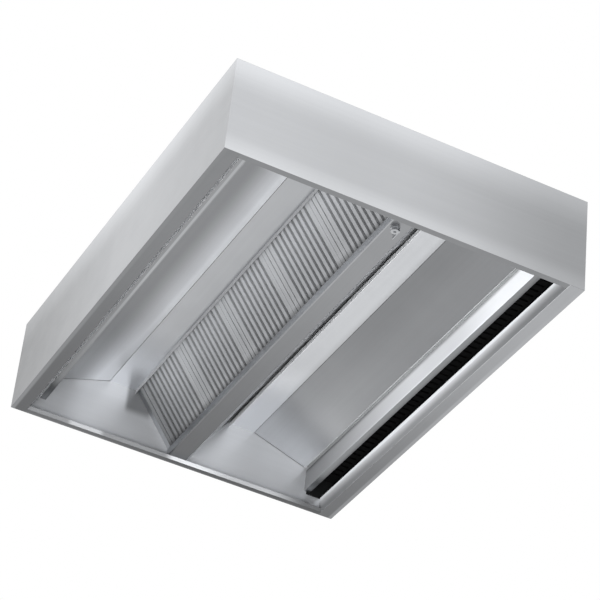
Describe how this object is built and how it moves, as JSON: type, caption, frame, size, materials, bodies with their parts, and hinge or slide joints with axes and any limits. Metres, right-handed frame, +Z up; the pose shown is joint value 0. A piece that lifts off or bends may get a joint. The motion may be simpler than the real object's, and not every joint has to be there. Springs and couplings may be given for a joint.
{
  "type": "island exhaust hood",
  "caption": "Hanging island hood in stainless sheet: baffle filters in a V over a grease trough, with make-up air slots along both long rims.",
  "frame": {"origin": "middle of the plane of the lower rim", "axes": "+X along the filter bank towards the drain cock, +Y across the hood, +Z up"},
  "size_m": [2.6, 1.9302, 0.6],
  "materials": {
    "stainless": "brushed along the sheet",
    "filter_frame": "satin",
    "filter_baffle": "satin",
    "galvanised": "dull zinc spangle",
    "zinc_plate": "zinc plated",
    "nickel_plate": "nickel plated, satin",
    "lever_steel": "satin",
    "rivet_steel": "plain"
  },
  "bodies": {
    "hood": {"air_diffuser_front": "galvanised", "air_diffuser_rear": "galvanised", "bank_cheek_left": "stainless", "bank_cheek_right": "stainless", "bracket_bolts": "zinc_plate", "drain_cock_body": "nickel_plate", "drain_locknut": "nickel_plate", "end_wall_left": "stainless", "end_wall_right": "stainless", "exhaust_collar_left": "galvanised", "exhaust_collar_right": "galvanised", "filter_channel_front": "galvanised", "filter_channel_rear": "galvanised", "filter_rest_front": "stainless", "filter_rest_rear": "stainless", "grease_trough": "stainless", "hanger_brackets": "zinc_plate", "inner_ceiling_front": "stainless", "inner_ceiling_rear": "stainless", "panel_studs_front": "stainless", "panel_studs_rear": "stainless", "plenum_backing_front": "galvanised", "plenum_backing_rear": "galvanised", "plenum_face_front": "stainless", "plenum_face_rear": "stainless", "roof_panel": "galvanised", "roof_rivets": "rivet_steel", "side_wall_front": "stainless", "side_wall_rear": "stainless", "slide_guides": "galvanised", "sloped_panel_front": "stainless", "sloped_panel_rear": "stainless", "supply_collar_front": "galvanised", "supply_collar_rear": "galvanised"},
    "filter_front_1": {"filter_front_1_frame": "filter_frame", "filter_front_1_baffles": "filter_baffle"},
    "filter_front_2": {"filter_front_2_frame": "filter_frame", "filter_front_2_baffles": "filter_baffle"},
    "filter_front_3": {"filter_front_3_frame": "filter_frame", "filter_front_3_baffles": "filter_baffle"},
    "filter_front_4": {"filter_front_4_frame": "filter_frame", "filter_front_4_baffles": "filter_baffle"},
    "filter_front_5": {"filter_front_5_frame": "filter_frame", "filter_front_5_baffles": "filter_baffle"},
    "filter_rear_1": {"filter_rear_1_frame": "filter_frame", "filter_rear_1_baffles": "filter_baffle"},
    "filter_rear_2": {"filter_rear_2_frame": "filter_frame", "filter_rear_2_baffles": "filter_baffle"},
    "filter_rear_3": {"filter_rear_3_frame": "filter_frame", "filter_rear_3_baffles": "filter_baffle"},
    "filter_rear_4": {"filter_rear_4_frame": "filter_frame", "filter_rear_4_baffles": "filter_baffle"},
    "filter_rear_5": {"filter_rear_5_frame": "filter_frame", "filter_rear_5_baffles": "filter_baffle"},
    "exhaust_slide_right": {"exhaust_slide_right": "galvanised"},
    "exhaust_slide_left": {"exhaust_slide_left": "galvanised"},
    "supply_slide_rear": {"supply_slide_rear": "galvanised"},
    "supply_slide_front": {"supply_slide_front": "galvanised"},
    "drain_valve": {"drain_cock_ball": "nickel_plate", "drain_cock_lever": "lever_steel"}
  },
  "joints": [
    {"name": "filter_front_1_lift", "type": "slide", "parent": "hood", "child": "filter_front_1", "axis": [0, -0.6088, 0.7934], "range_m": [0, 0.02]},
    {"name": "filter_front_2_lift", "type": "slide", "parent": "hood", "child": "filter_front_2", "axis": [0, -0.6088, 0.7934], "range_m": [0, 0.02]},
    {"name": "filter_front_3_lift", "type": "slide", "parent": "hood", "child": "filter_front_3", "axis": [0, -0.6088, 0.7934], "range_m": [0, 0.02]},
    {"name": "filter_front_4_lift", "type": "slide", "parent": "hood", "child": "filter_front_4", "axis": [0, -0.6088, 0.7934], "range_m": [0, 0.02]},
    {"name": "filter_front_5_lift", "type": "slide", "parent": "hood", "child": "filter_front_5", "axis": [0, -0.6088, 0.7934], "range_m": [0, 0.02]},
    {"name": "filter_rear_1_lift", "type": "slide", "parent": "hood", "child": "filter_rear_1", "axis": [0, 0.6088, 0.7934], "range_m": [0, 0.02]},
    {"name": "filter_rear_2_lift", "type": "slide", "parent": "hood", "child": "filter_rear_2", "axis": [0, 0.6088, 0.7934], "range_m": [0, 0.02]},
    {"name": "filter_rear_3_lift", "type": "slide", "parent": "hood", "child": "filter_rear_3", "axis": [0, 0.6088, 0.7934], "range_m": [0, 0.02]},
    {"name": "filter_rear_4_lift", "type": "slide", "parent": "hood", "child": "filter_rear_4", "axis": [0, 0.6088, 0.7934], "range_m": [0, 0.02]},
    {"name": "filter_rear_5_lift", "type": "slide", "parent": "hood", "child": "filter_rear_5", "axis": [0, 0.6088, 0.7934], "range_m": [0, 0.02]},
    {"name": "exhaust_slide_right_travel", "type": "slide", "parent": "hood", "child": "exhaust_slide_right", "axis": [-1, 0, 0], "range_m": [0, 0.412]},
    {"name": "exhaust_slide_left_travel", "type": "slide", "parent": "hood", "child": "exhaust_slide_left", "axis": [1, 0, 0], "range_m": [0, 0.412]},
    {"name": "supply_slide_rear_travel", "type": "slide", "parent": "hood", "child": "supply_slide_rear", "axis": [-1, 0, 0], "range_m": [0, 0.327]},
    {"name": "supply_slide_front_travel", "type": "slide", "parent": "hood", "child": "supply_slide_front", "axis": [1, 0, 0], "range_m": [0, 0.327]},
    {"name": "drain_valve_turn", "type": "hinge", "parent": "hood", "child": "drain_valve", "pos_m": [1.186, -0.015, 0.0135], "axis": [0, -1, 0], "range_deg": [0, 90]}
  ]
}
